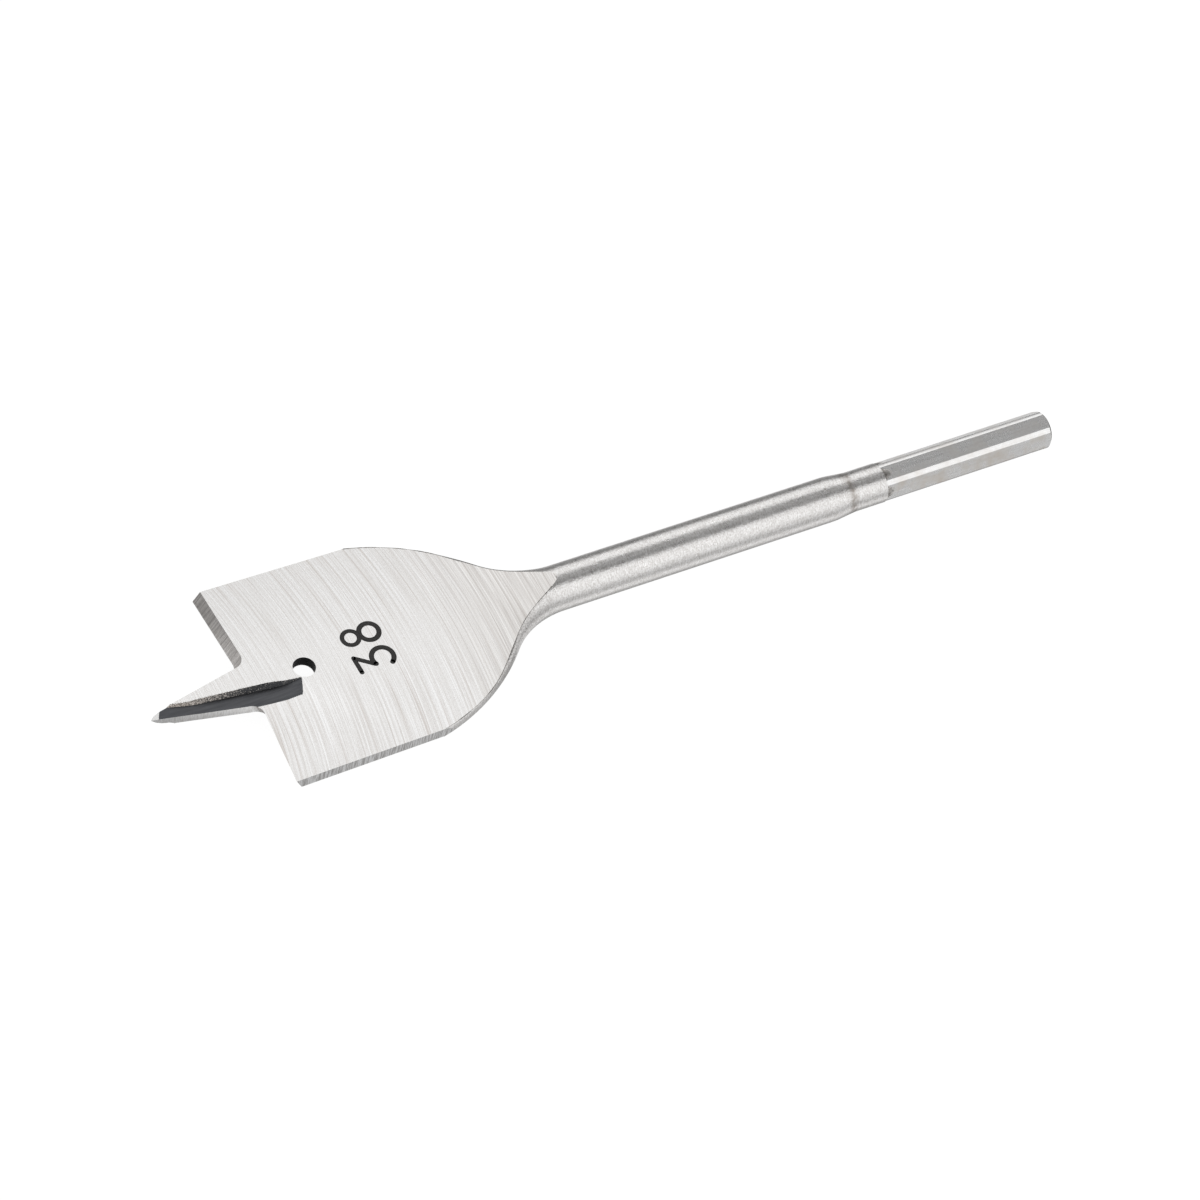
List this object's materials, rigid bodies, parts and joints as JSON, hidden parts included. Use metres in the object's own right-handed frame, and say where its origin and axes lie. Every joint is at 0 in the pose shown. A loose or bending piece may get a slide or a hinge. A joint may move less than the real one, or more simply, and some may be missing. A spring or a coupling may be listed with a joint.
{
  "type": "spade drill bit",
  "caption": "Flat spade bit for boring wood: a ground blade with a fluted centre spur and cutting lips, a forged neck, a round shank, a collar and a hexagonal drive end.",
  "frame": {"origin": "centre of the flat end face of the hexagonal drive end", "axes": "+X along the bit's axis and out of the drive end, so that the spur's tip is at -X; +Z square to the blade, out of the face shown upwards in the picture; +Y across the blade"},
  "size_m": [0.165, 0.038, 0.0076],
  "materials": {
    "ground_steel": "forged and hardened steel, ground bright on the blade's faces and edges, satin blasted on the shank and drawn smooth on the hex"
  },
  "bodies": {
    "root": {"spade_bit": "ground_steel"}
  },
  "joints": []
}
